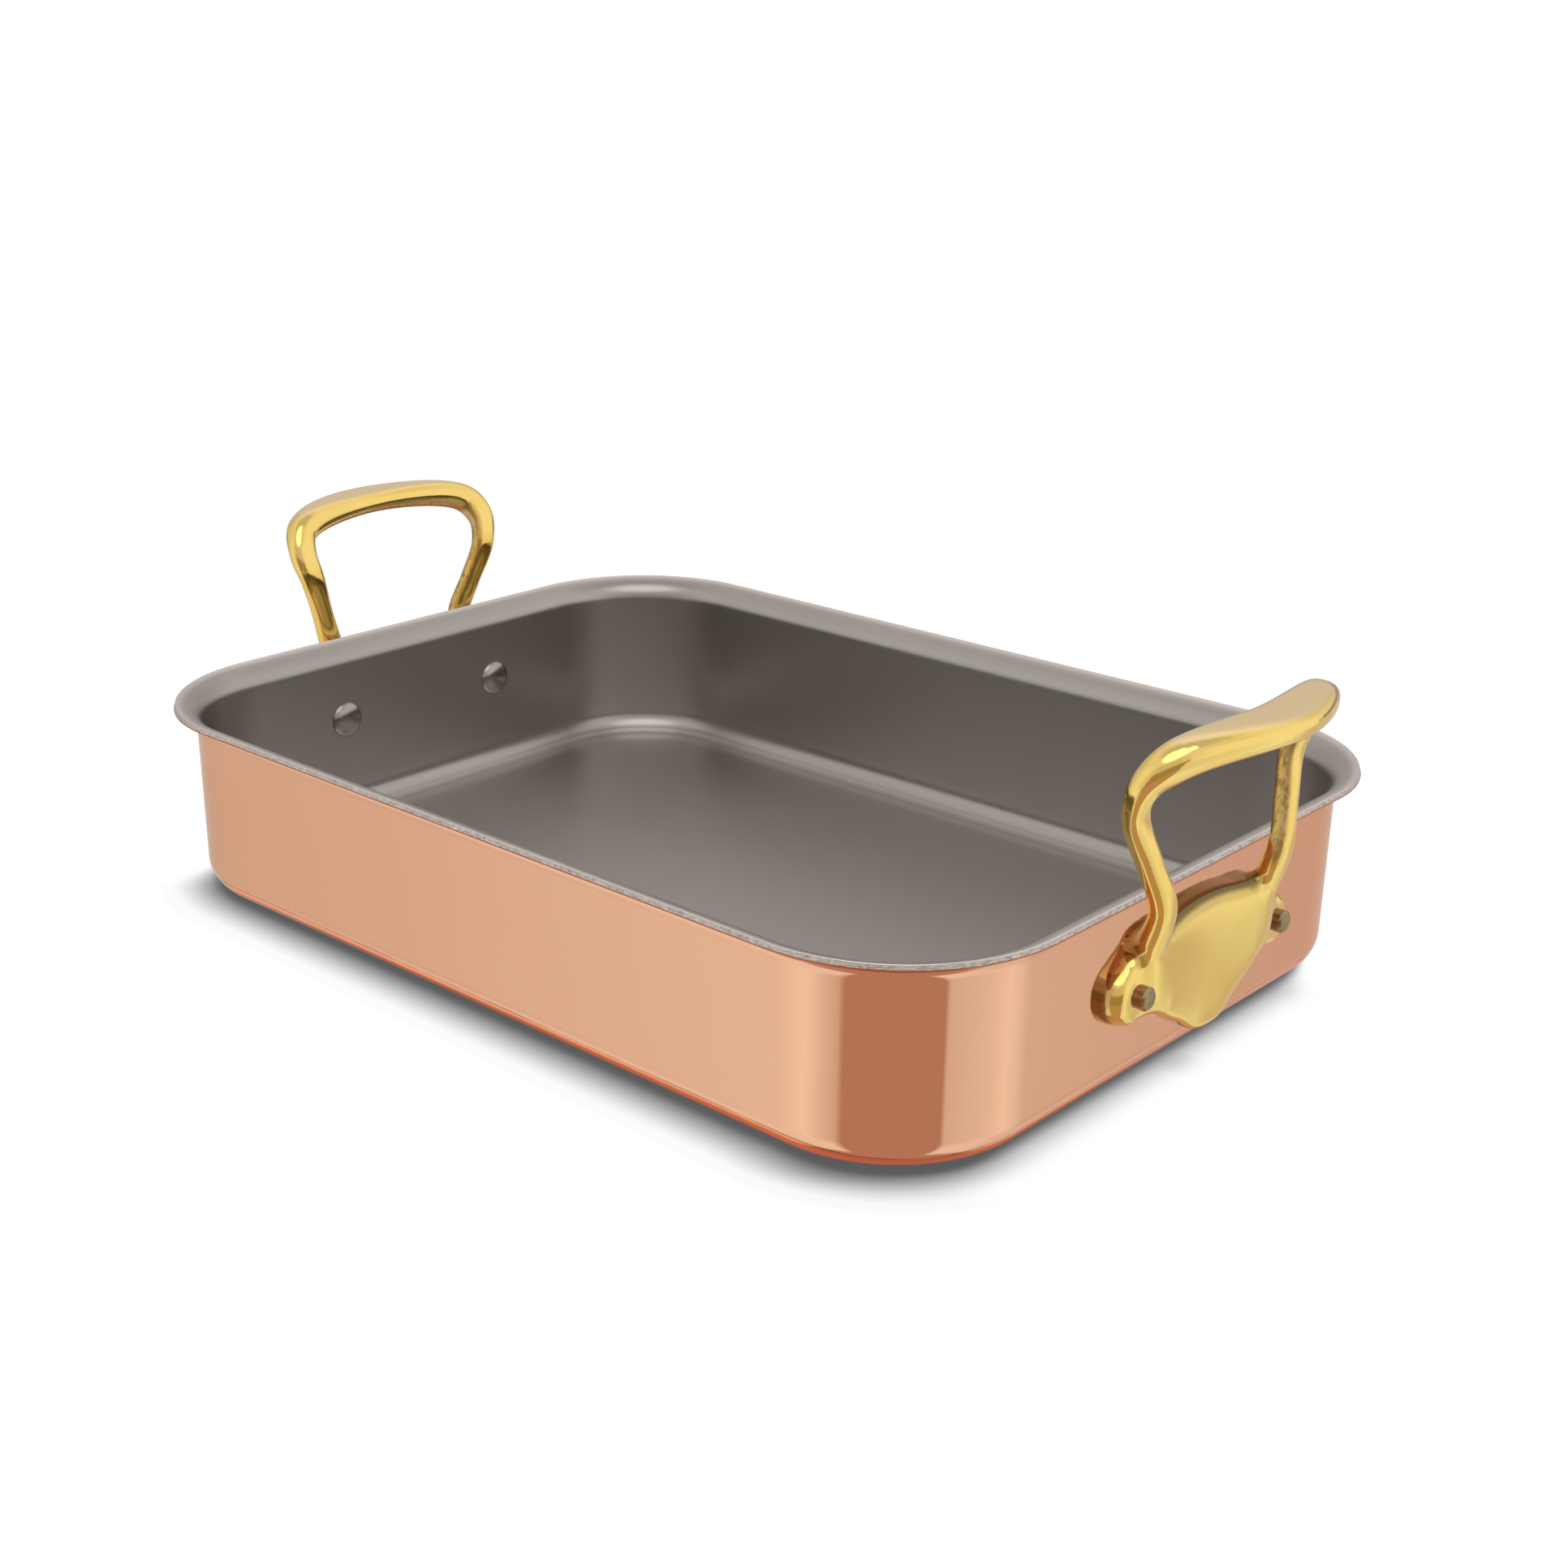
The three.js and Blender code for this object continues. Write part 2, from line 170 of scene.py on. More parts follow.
class Wire:
    """A shader socket that takes part in Python sums: each operator adds one Math node."""

    def __init__(self, tree, socket):
        self.tree = tree
        self.socket = socket

    def node(self, kind, settings, sockets, output=0):
        """Adds a node with its settings and its inputs, and gives one of its outputs."""
        made = self.tree.nodes.new("ShaderNode" + kind)
        for key, value in settings.items():
            if key == "stops":
                ramp = made.color_ramp.elements
                while len(ramp) < len(value):
                    ramp.new(1)
                for stop, (place, colour) in zip(ramp, value):
                    stop.position = place
                    stop.color = (*colour, 1)
            else:
                setattr(made, key, value)
        for key, value in sockets.items():
            self.feed(made.inputs[key], value)
        return Wire(self.tree, made.outputs[output])

    def feed(self, target, value):
        """Links a wire to an input, or sets the input's value."""
        if isinstance(value, Wire):
            self.tree.links.new(value.socket, target)
        else:
            target.default_value = value

    def sum(self, operation, left, right=0.0):
        return self.node("Math", {"operation": operation}, {0: left, 1: right})

    def __add__(self, other):
        return self.sum("ADD", self, other)

    def __sub__(self, other):
        return self.sum("SUBTRACT", self, other)

    def __rsub__(self, other):
        return self.sum("SUBTRACT", other, self)

    def __mul__(self, other):
        return self.sum("MULTIPLY", self, other)

    def __truediv__(self, other):
        return self.sum("DIVIDE", self, other)

    def __pow__(self, other):
        return self.sum("POWER", self, other)

    def __neg__(self):
        return self.sum("SUBTRACT", 0, self)

    __radd__ = __add__
    __rmul__ = __mul__

    def hypot(self, other):
        """The diagonal over two sides."""
        return (self * self + other * other) ** 0.5

    def axes(self):
        """The X, Y and Z of these coordinates."""
        return [self.node("SeparateXYZ", {}, {0: self}, axis) for axis in range(3)]

    def mask(self, name):
        """A value that the mesh keeps at its vertices."""
        return self.node("Attribute", {"attribute_name": name}, {}, 2)

    def ease(self, low, high):
        """0 below low, 1 above high and a smooth rise between them."""
        settings = {"interpolation_type": "SMOOTHSTEP"}
        return self.node("MapRange", settings, {"Value": self, "From Min": low, "From Max": high})

    def blend(self, one, other):
        """One colour where this wire is 0, the other where it is 1."""
        return self.node("Mix", {"data_type": "RGBA"}, {0: self, 6: one, 7: other}, 2)

    def noise(self, scale, detail=3.0, roughness=0.5):
        """A cloudy value over these coordinates."""
        settings = {"Vector": self, "Scale": scale, "Detail": detail, "Roughness": roughness}
        return self.node("TexNoise", {}, settings)

    def stretched(self, along):
        """These coordinates drawn out, so that a noise on them turns into streaks."""
        return self.node("Mapping", {}, {"Vector": self, "Scale": along})

    def bump(self, height, strength, distance):
        """The surface's direction, tilted by a height."""
        settings = {"Height": height, "Strength": strength, "Distance": distance}
        return self.node("Bump", {}, settings)


def finish(name, paint):
    """A metal whose colour, roughness and surface come from paint, given Object coordinates."""
    material = bpy.data.materials.new(name)
    material.use_nodes = True
    tree = material.node_tree
    shader = tree.nodes["Principled BSDF"]
    shader.inputs["Metallic"].default_value = 1
    place = tree.nodes.new("ShaderNodeTexCoord").outputs["Object"]
    for key, value in paint(Wire(tree, place)).items():
        Wire(tree, place).feed(shader.inputs[key], value)
    return material


def past_straights(place):
    """How far a point lies past the straight part of the long sides, and of the short ones."""
    along, across = place.axes()[:2]
    past_x = place.sum("ABSOLUTE", along) - STRAIGHT_X
    past_y = place.sum("ABSOLUTE", across) - STRAIGHT_Y
    return place.sum("MAXIMUM", past_x, 0.0), place.sum("MAXIMUM", past_y, 0.0)


def polished_copper(place):
    """A buffed mirror, with a thin dark line above a reddish painted shade along the base edge, a
    darker painted shade at the foot, and a painted shade under the lip.
    """
    cloud = place.noise(9)
    buffing = place.stretched((14, 14, 900)).noise(1.0, 4.0, 0.7)
    height = place.axes()[2]
    past_x, past_y = past_straights(place)
    at_corner = past_x.ease(0.0, CORNER_BLEND) * past_y.ease(0.0, CORNER_BLEND)
    above_base = height + at_corner * BASE_SHADE_DIP
    bright = cloud.ease(0.3, 0.7).blend((0.885, 0.495, 0.312, 1), (0.905, 0.512, 0.325, 1))
    # A thin, broken dark line just above the base band.
    dark_line = above_base.ease(DARK_LINE_LOW, DARK_LINE_LOW + BAND_FADE)
    dark_line = dark_line * (DARK_LINE_HIGH - above_base).ease(0.0, BAND_FADE)
    broken = place.noise(60).ease(0.3, 0.6) * 0.4 + 0.35
    lined = (dark_line * broken).blend(bright, (0.07, 0.02, 0.015, 1))
    # Painted shade along the base edge, standing for the mirrored dark floor under the pan: reddish,
    # and darker at the foot.
    base_shade_colour = at_corner.blend((0.93, 0.31, 0.13, 1), (0.78, 0.24, 0.11, 1))
    base_shaded = (BASE_SHADE_HEIGHT - above_base).ease(0.0, BAND_FADE).blend(lined, base_shade_colour)
    foot = (FOOT_SHADE_HEIGHT - height).ease(0.0, FOOT_SHADE_HEIGHT / 2).blend(base_shaded, (0.66, 0.17, 0.08, 1))
    # Painted shade just under the lip.
    lip_shade = height.ease(LIP_SHADE_LOW, LIP_SHADE_HIGH)
    return {
        "Base Color": lip_shade.blend(foot, (0.48, 0.16, 0.085, 1)),
        "Roughness": 0.02 + buffing * 0.03 + cloud * 0.02,
        "Specular Tint": (1, 0.93, 0.88, 1),
        "Normal": place.bump(buffing, 0.02, 0.2 * MM),
    }


copper = piece("pan_copper", pressed_layer(0), "copper_shell")
thicken(copper, COPPER_THICKNESS)
break_edges(copper, COPPER_EDGE)
copper.data.materials.append(finish("polished_copper", polished_copper))

# Aluminium core: the thick middle layer, which spreads the heat and is rolled to the other two.
# It shows only at the lip, where the blank was sheared and left a grey, torn edge.

BOND_LINE = 0.02 * MM
ALUMINIUM_THICKNESS = 1.26 * MM
ALUMINIUM_EDGE = 0.04 * MM


def sheared_aluminium(place):
    """Grey torn metal with a few dark chips."""
    grain = place.stretched((500, 500, 3600)).noise(1.0, 5.0, 0.75)
    chips = place.noise(520, 2.0, 0.6).ease(0.56, 0.72) * 0.35
    colour = grain.ease(0.36, 0.66).blend((0.42, 0.385, 0.36, 1), (0.85, 0.8, 0.745, 1))
    return {
        "Base Color": chips.blend(colour, (0.12, 0.11, 0.1, 1)),
        "Roughness": 0.35 + grain * 0.3,
        "Normal": place.bump(grain, 0.6, 0.3 * MM),
    }


core_shape = pressed_layer(COPPER_THICKNESS + BOND_LINE)
core = piece("pan_core", core_shape, "aluminium_core")
thicken(core, ALUMINIUM_THICKNESS)
break_edges(core, ALUMINIUM_EDGE)
core.data.materials.append(finish("sheared_aluminium", sheared_aluminium))

# Steel lining: the stainless inner layer that the food touches, with a fine satin polish.
# It covers the floor and the inside walls and rolls over the top of the lip.

STEEL_THICKNESS = 0.35 * MM
RIM_ROUND = 0.28 * MM
RIM_STEPS = 5
# Where the floor's ring of painted highlight lies, next to the base fillet, and how it bends round
# the corners.
RING_INNER = 29 * MM
RING_OUTER = 38.5 * MM
RING_TOP = 3.2 * MM
RING_FADE = 0.6 * MM
RING_EXTRA = 3 * MM
RING_TURN = 5 * MM
RING_TURNED = 20 * MM
# Heights of the painted highlight on the lip's rim.
RIM_HIGHLIGHT_LOW = 66 * MM
RIM_HIGHLIGHT_HIGH = 67.1 * MM


def evaluated(thing):
    """The mesh that an object's modifiers make."""
    graph = bpy.context.evaluated_depsgraph_get()
    return bpy.data.meshes.new_from_object(thing.evaluated_get(graph), depsgraph=graph)


def round_rim(thing):
    """Rounds the upper edge of the lip, which is burnished smooth."""
    shape = bmesh.new()
    shape.from_mesh(evaluated(thing))
    thing.modifiers.clear()
    top = PAN_HEIGHT - STEEL_THICKNESS / 4
    rim = [edge for edge in shape.edges if min(vert.co.z for vert in edge.verts) > top]
    rim = [edge for edge in rim if edge.calc_face_angle(0) > SHARP_ANGLE]
    bmesh.ops.bevel(
        shape,
        geom=rim,
        offset=RIM_ROUND,
        segments=RIM_STEPS,
        profile=0.5,
        affect="EDGES",
        material=-1,
    )
    shape.to_mesh(thing.data)
    shape.free()
    thing.data.shade_smooth()
    thing.data.set_sharp_from_angle(angle=SHARP_ANGLE)


def satin_steel(place):
    """A fine satin, brighter on the lip's rim and in a ring round the floor, both painted
    highlights.
    """
    cloud = place.noise(7)
    grain = place.stretched((60, 60, 2600)).noise(1.0, 4.0, 0.7)
    height = place.axes()[2]
    past_x, past_y = past_straights(place)
    from_middle = past_x.hypot(past_y)
    at_corner = past_x.ease(RING_TURN, RING_TURNED) * past_y.ease(RING_TURN, RING_TURNED)
    outward = from_middle + at_corner * RING_EXTRA
    # A ring of painted highlight on the floor next to the fillet, which widens the fillet's
    # highlight.
    ring = outward.ease(RING_INNER, RING_OUTER) * (RING_TOP - height).ease(0.0, RING_FADE)
    satin = cloud.ease(0.3, 0.7).blend((0.41, 0.388, 0.37, 1), (0.44, 0.417, 0.398, 1))
    colour = ring.blend(satin, (0.68, 0.64, 0.6, 1))
    # The lighter colour near the top of the lip is a painted highlight on the rim.
    return {
        "Base Color": height.ease(RIM_HIGHLIGHT_LOW, RIM_HIGHLIGHT_HIGH).blend(colour, (0.735, 0.68, 0.637, 1)),
        "Roughness": 0.26 + grain * 0.06 + cloud * 0.05,
        "Normal": place.bump(grain, 0.05, 0.2 * MM),
    }


lining_shape = pressed_layer(SHEET - STEEL_THICKNESS)
lining = piece("pan_lining", lining_shape, "steel_lining")
thicken(lining, STEEL_THICKNESS)
round_rim(lining)
lining.data.materials.append(finish("satin_steel", satin_steel))

# Handles: one brass casting at each short end, a plate with two ears that carries an upright loop.
# The outside is ground and polished; the inside of the loop keeps the pitted skin of the casting.

RIVET_SPACING = 75.4
RIVET_HEIGHT = 37.4
SEAT_GAP = 0.05
EAR_RADIUS = 9.8
EAR_DROP = 1
EAR_THICKNESS = 9.8
EAR_ROUND = 3.8
EAR_CROWN = 7
HIP_RADIUS = 4
HIP_PLACE = 31.2
BOSS_WIDTH = 67
BOSS_CROWN = 18.9
BOSS_SADDLE = 5
BOSS_DROP = 22.3
TONGUE_WIDTH = 28
CROWN_THICKNESS = 8.2
TONGUE_THICKNESS = 13
BOSS_ROUND = 3.6
BOSS_SWELL = 1.0
BOSS_DISH = 4.2
LIP_RISE = 29.8
LIP_REACH = 7.6
UNDERSIDE_SQUARENESS = 2.3
OUTLINE_STEPS = 20
ARC_STEPS = 24
EAR_STEPS = 12
BOSS_STEPS = 16
SWELL_STEPS = 60
SWELL_SKIPPED = 10
LOOP_STEPS = 12
LOOP_SIDES = 40
CASTING_VOXEL = 0.5
CREASE_ANGLE = -0.3
BLEND_RINGS = 10
BLEND_PASSES = 120
BLEND_INNER = 24
BLEND_OUTER = 39
BLEND_HEIGHT = 11
BLEND_REACH = 7.5
POLISH_PASSES = 5
SEAT_KEPT = 3
LOOP_MIDDLE = Vector((0, 0, LIP_RISE + 18))
# as_cast and lapped are finishes; plate_side, pan_side and crown mark painted reflection and painted
# shade.
FINISHES_AND_SHADES = ("as_cast", "lapped", "plate_side", "pan_side", "crown")
ENDS = (("right", 1), ("left", -1))


def smooth_path(points, stretches, closed=False):
    """Points along a curve that passes through all the given ones, a few for each stretch."""
    places = [Vector(point) for point in points]
    if closed:
        chain = [places[-1], *places, places[0], places[1]]
    else:
        chain = [2 * places[0] - places[1], *places, 2 * places[-1] - places[-2]]
    found = []
    for before, start, end, after in zip(chain, chain[1:], chain[2:], chain[3:]):
        lead = math.sqrt((start - before).length)
        step = math.sqrt((end - start).length)
        tail = math.sqrt((after - end).length)
        leave = (start - before) / lead - (end - before) / (lead + step) + (end - start) / step
        arrive = (end - start) / step - (after - start) / (step + tail) + (after - end) / tail
        found += interpolate_bezier(
            start, start + leave * step / 3, end - arrive * step / 3, end, stretches + 1
        )[:-1]
    return found if closed else [*found, places[-1]]


def skin(shape, rings):
    """A closed body through rings of equal length."""
    last = None
    for ring in rings:
        verts = bmesh.ops.create_circle(shape, segments=len(ring), radius=1)["verts"]
        for vert, place in zip(verts, ring):
            vert.co = place
        edges = list({edge for vert in verts for edge in vert.link_edges})
        if last is None:
            bmesh.ops.contextual_create(shape, geom=edges)
        else:
            bmesh.ops.bridge_loops(shape, edges=[*last, *edges])
        last = edges
    bmesh.ops.contextual_create(shape, geom=last)


def rounding(count):
    """The angles of a quarter turn, in equal steps."""
    return [math.pi / 2 * step / count for step in range(count + 1)]


def add_ears(shape):
    """The band along the wall, with a round ear at each rivet."""
    hip = Vector((HIP_PLACE, BOSS_CROWN - BOSS_SADDLE - HIP_RADIUS))
    lobe = Vector((RIVET_SPACING / 2, -EAR_DROP))
    climb = hip - lobe
    turn = math.atan2(climb.y, climb.x) - math.acos((EAR_RADIUS - HIP_RADIUS) / climb.length)

    def arc(centre, radius, start, end):
        angles = [start + (end - start) * step / ARC_STEPS for step in range(ARC_STEPS + 1)]
        return [centre + radius * Vector((math.cos(a), math.sin(a))) for a in angles]

    def ring(reach, inset):
        round_end = arc(lobe, EAR_RADIUS - inset, -math.pi / 2, turn)
        right = [*round_end, *arc(hip, HIP_RADIUS - inset, turn, math.pi / 2)[1:]]
        left = [Vector((-p.x, p.y)) for p in reversed(right)]
        return [Vector((reach, p.x, p.y)) for p in [*right, *left]]

    edge = [
        ring(EAR_THICKNESS - EAR_CROWN * (1 - math.sin(a)), EAR_ROUND * (1 - math.cos(a)))
        for a in rounding(EAR_STEPS)
    ]
    skin(shape, [ring(SEAT_GAP, 0), *edge])


def add_boss(shape):
    """The boss between the ears, whose dished face runs down into a tongue."""
    half = BOSS_WIDTH / 2
    tongue = TONGUE_WIDTH / 2
    right = [
        (half / 2, BOSS_CROWN - BOSS_SADDLE / 4),
        (half, BOSS_CROWN - BOSS_SADDLE),
        (half, EAR_RADIUS / -2),
        ((half + tongue) / 2, -EAR_RADIUS - BOSS_ROUND / 2),
        (tongue, BOSS_ROUND * 1.5 - BOSS_DROP),
        (tongue / 2, BOSS_ROUND / 4 - BOSS_DROP),
    ]
    left = [(-y, z) for y, z in reversed(right)]
    corners = [(0, BOSS_CROWN), *right, (0, -BOSS_DROP), *left]
    outline = smooth_path([(0, y, z) for y, z in corners], OUTLINE_STEPS, closed=True)

    def face(y, z):
        down = (BOSS_CROWN - z) / (BOSS_CROWN + BOSS_DROP)
        dish = BOSS_DISH * (1 - down) * (y / half) ** 2
        return CROWN_THICKNESS + (TONGUE_THICKNESS - CROWN_THICKNESS) * down + dish

    def ring(scale, rise):
        flat = [(p.y * scale, p.z * scale) for p in outline]
        return [Vector((face(y, z) + rise, y, z)) for y, z in flat]

    inset = BOSS_ROUND / BOSS_DROP
    edge = [
        ring(1 - inset * (1 - math.cos(a)), BOSS_ROUND * (math.sin(a) - 1))
        for a in rounding(BOSS_STEPS)
    ]
    swell = [
        ring(math.cos(a) * (1 - inset), BOSS_SWELL * math.sin(a))
        for a in rounding(SWELL_STEPS)[SWELL_SKIPPED:-1]
    ]
    seat = [Vector((SEAT_GAP, p.y, p.z)) for p in outline]
    skin(shape, [seat, *edge, *swell])


def add_loop(shape):
    """The loop, through stations (along, up, out) of a thickness, a width and a squareness."""
    waist = (32.2, LIP_RISE - 3.9, LIP_REACH + 4.6)
    shoulder = (42.4, LIP_RISE + 24.5, 7.4)
    neck = [(a + b) / 2 for a, b in zip(waist, shoulder)]
    leg = [
        ((28, LIP_RISE - 27, 4.1), (21, 8.4, 2.1)),
        ((31, LIP_RISE - 15.6, 8.8), (10.8, 8.2, 2.1)),
        (waist, (9.4, 6.9, 2.3)),
        (neck, (8.2, 6.9, 2.3)),
        (shoulder, (9.4, 7, 2.3)),
        ((44, LIP_RISE + 34.8, 10.4), (10.6, 8.4, 2.3)),
        ((39.2, LIP_RISE + 42.1, 15.8), (10.8, 11.2, 2.4)),
    ]
    grip = ((0, LIP_RISE + 45.9, 25.4), (8.8, 18.2, 3.2))
    far_leg = [((-y, z, x), size) for (y, z, x), size in reversed(leg)]
    stations = [*leg, grip, *far_leg]
    line = smooth_path([(x, y, z) for (y, z, x), size in stations], LOOP_STEPS)
    sizes = smooth_path([size for place, size in stations], LOOP_STEPS)
    out = Vector((1, 0, 0))
    rings = []
    for number, (centre, size) in enumerate(zip(line, sizes)):
        along = (line[min(number + 1, len(line) - 1)] - line[max(number - 1, 0)]).normalized()
        outside = along.cross(out).normalized()
        across = outside.cross(along)
        ring = []
        for step in range(LOOP_SIDES):
            angle = 2 * math.pi * step / LOOP_SIDES
            thick, wide = math.cos(angle), math.sin(angle)
            squareness = size.z if thick > 0 else min(size.z, UNDERSIDE_SQUARENESS)
            thick = math.copysign(abs(thick) ** (2 / squareness), thick)
            wide = math.copysign(abs(wide) ** (2 / squareness), wide)
            ring.append(centre + outside * size.x / 2 * thick + across * size.y / 2 * wide)
        rings.append(ring)
    skin(shape, rings)


def relax(shape, verts, passes):
    """Draws vertices toward their neighbours, a number of times."""
    for again in range(passes):
        bmesh.ops.smooth_vert(
            shape, verts=verts, factor=0.5, use_axis_x=True, use_axis_y=True, use_axis_z=True
        )


def between_ear_and_boss(place):
    """Whether a point is in the hollow beside the boss, which is filleted."""
    beside = BLEND_INNER < abs(place.y) < BLEND_OUTER
    return beside and abs(place.z) < BLEND_HEIGHT and place.x > BLEND_REACH


def casting():
    """The handle in millimetres at the wall's rivet line: X out of the wall, Y along it, Z up."""
    shape = bmesh.new()
    add_ears(shape)
    add_boss(shape)
    add_loop(shape)
    bmesh.ops.recalc_face_normals(shape, faces=shape.faces)
    mesh = bpy.data.meshes.new("rough_casting")
    shape.to_mesh(mesh)
    shape.free()
    rough = bpy.data.objects.new("rough_casting", mesh)
    bpy.context.scene.collection.objects.link(rough)
    weld = rough.modifiers.new("weld", "REMESH")
    weld.mode = "VOXEL"
    weld.voxel_size = CASTING_VOXEL
    shape = bmesh.new()
    shape.from_mesh(evaluated(rough))
    bpy.data.objects.remove(rough)

    creases = [edge for edge in shape.edges if edge.calc_face_angle_signed(0) < CREASE_ANGLE]
    blend = {vert for edge in creases for vert in edge.verts}
    for ring in range(BLEND_RINGS):
        blend |= {edge.other_vert(vert) for vert in blend for edge in vert.link_edges}
    blend |= {vert for vert in shape.verts if between_ear_and_boss(vert.co)}
    relax(shape, [vert for vert in blend if vert.co.x > SEAT_KEPT], BLEND_PASSES)
    relax(shape, [vert for vert in shape.verts if vert.co.x > SEAT_KEPT / 2], POLISH_PASSES)
    return shape


def wall_frame(side):
    """Where the rivet line of an end wall is: side 1 is the right end, -1 the left."""
    turn = Matrix.Rotation(0 if side > 0 else math.pi, 4, "Z")
    lean = Matrix.Rotation(WALL_DRAFT, 4, "Y")
    height = RIVET_HEIGHT * MM
    place = Vector((PAN_LENGTH / 2 + height * math.tan(WALL_DRAFT), 0, height))
    return turn @ Matrix.Translation(place) @ lean @ Matrix.Scale(MM, 4)


def polished_brass(place):
    """A bright polish, the other finishes where the casting is marked for them, and painted shade
    and painted reflection where it is marked for those.
    """
    cloud = place.noise(40)
    lines = place.stretched((900, 60, 60)).noise(1.0, 3.0, 0.6)
    pits = place.stretched((800, 800, 130)).noise(1.0, 5.0, 0.7)
    as_cast = place.mask("as_cast")
    lapped = place.mask("lapped")
    pitted = pits.ease(0.4, 0.74) * as_cast
    bright = cloud.ease(0.3, 0.7).blend((0.93, 0.68, 0.19, 1), (0.95, 0.71, 0.23, 1))
    dull = as_cast.blend(bright, (0.64, 0.45, 0.17, 1))
    pale = lapped.blend(dull, (0.99, 0.78, 0.42, 1))
    # Painted reflection of the copper wall, in dark brown, on the casting's sides next to the wall.
    wall_reflected = place.mask("plate_side").blend(pale, (0.42, 0.3, 0.14, 1))
    # Painted shade on faces turned toward the pan.
    shaded = place.mask("pan_side").blend(wall_reflected, (0.84, 0.54, 0.12, 1))
    # Painted shade on the top of the boss, under the lip.
    crown_shaded = place.mask("crown").blend(shaded, (0.2, 0.15, 0.06, 1))
    return {
        "Base Color": pitted.blend(crown_shaded, (0.2, 0.13, 0.06, 1)),
        "Roughness": 0.06 + lines * 0.05 + as_cast * 0.25 + lapped * 0.18,
        "Normal": place.bump(pits * as_cast + cloud * 0.1, 0.3, 0.4 * MM),
    }


def grade(value, none, full):
    """How far a value has come from none, where the grade is 0, to full, where it is 1."""
    return (value - none) / (full - none)


def share(*grades):
    """The least of some grades, held between 0 and 1."""
    return min(1, max(0, min(grades)))


def mark_finishes_and_shades(shape):
    """Keeps at each vertex of the casting how much of each finish, painted shade and painted
    reflection it has.
    """
    layers = {name: shape.verts.layers.float.new(name) for name in FINISHES_AND_SHADES}
    shape.normal_update()
    for vert in shape.verts:
        out, along, up = vert.co
        normal = vert.normal
        to_middle = ((LOOP_MIDDLE - vert.co) * Vector((0, 1, 1))).normalized()
        facing = normal.dot(to_middle)
        near_wall = min(
            grade(out, 11, 7),
            grade(normal.x, 0.4, 0.1),
            grade(up, LIP_RISE + 4, LIP_RISE - 6),
        )
        vert[layers["as_cast"]] = share(
            grade(facing, 0.4, 0.8),
            grade(up, BOSS_CROWN + 2, BOSS_CROWN + 6),
        )
        vert[layers["lapped"]] = share(
            grade(normal.z, 0.9, 0.95),
            grade(up, LIP_RISE + 40, LIP_RISE + 44),
        )
        # Painted reflection of the copper wall on the sides next to the wall.
        vert[layers["plate_side"]] = share(near_wall)
        # Painted shade on faces turned toward the pan.
        vert[layers["pan_side"]] = share(
            grade(normal.x, 0.1, -0.3),
            grade(up, LIP_RISE + 30, LIP_RISE + 24),
            1 - near_wall,
        )
        # Painted shade on the top of the boss.
        vert[layers["crown"]] = share(
            grade(normal.z, 0.2, 0.7),
            grade(up, BOSS_CROWN + 3, BOSS_CROWN),
            grade(up, 8, 12),
            grade(out, 13, 9),
            grade(abs(along), 33, 29),
        )


brass = finish("polished_brass", polished_brass)
pattern = casting()
mark_finishes_and_shades(pattern)
for end, side in ENDS:
    cast = pattern.copy()
    cast.transform(wall_frame(side))
    handle = piece("casting_" + end, cast, "handle_" + end)
    handle.visible_glossy = False
    handle.data.materials.append(brass)
pattern.free()

# Rivets: turned steel pins, two to a handle, with a low domed head inside the pan.
# The plain tail passes through sheet and ear and stands proud outside with a chamfered end.

SHANK_RADIUS = 3.6
HEAD_RADIUS = 6.8
HEAD_HEIGHT = 2.6
HEAD_STEPS = 16
TAIL_LENGTH = 4
TAIL_CHAMFER = 0.7
RIVET_SUPPORT = 0.2
RIVET_SIDES = 64
RIVET_WELD = 0.001
RIVET_SHARP_ANGLE = math.radians(35)


def turned_steel(place):
    """Grey on the heads and bronze on the tails."""
    grain = place.noise(1400, 3.0, 0.6)
    cloud = place.noise(160)
    head = cloud.ease(0.3, 0.7).blend((0.36, 0.33, 0.3, 1), (0.42, 0.385, 0.355, 1))
    bronze = cloud.ease(0.3, 0.7).blend((0.28, 0.235, 0.12, 1), (0.42, 0.335, 0.17, 1))
    return {
        "Base Color": place.mask("tail").blend(head, bronze),
        "Roughness": 0.14 + grain * 0.12,
        "Normal": place.bump(grain, 0.15, 0.2 * MM),
    }


def rivet_shape():
    """A rivet in millimetres, turned about an axis that runs out of the wall."""
    seat = -SHEET / MM - SEAT_GAP
    tip = EAR_THICKNESS + TAIL_LENGTH
    dome = [
        (seat - HEAD_HEIGHT * math.cos(a), HEAD_RADIUS * math.sin(a))
        for a in rounding(HEAD_STEPS)
    ]
    stem = [
        (seat, HEAD_RADIUS - RIVET_SUPPORT),
        (seat, SHANK_RADIUS),
        (tip - TAIL_CHAMFER - RIVET_SUPPORT / 2, SHANK_RADIUS),
        (tip - TAIL_CHAMFER, SHANK_RADIUS),
        (tip, SHANK_RADIUS - TAIL_CHAMFER),
        (tip, SHANK_RADIUS - TAIL_CHAMFER - RIVET_SUPPORT),
        (tip, 0),
    ]
    shape = bmesh.new()
    line = [shape.verts.new((x, 0, radius)) for x, radius in [*dome, *stem]]
    for one, other in zip(line, line[1:]):
        shape.edges.new((one, other))
    bmesh.ops.spin(
        shape,
        geom=[*shape.verts, *shape.edges],
        axis=(1, 0, 0),
        angle=2 * math.pi,
        steps=RIVET_SIDES,
        use_merge=True,
    )
    bmesh.ops.remove_doubles(shape, verts=shape.verts, dist=RIVET_WELD)
    bmesh.ops.recalc_face_normals(shape, faces=shape.faces)
    tail_layer = shape.verts.layers.float.new("tail")
    for vert in shape.verts:
        vert[tail_layer] = float(vert.co.x > 0)
    return shape


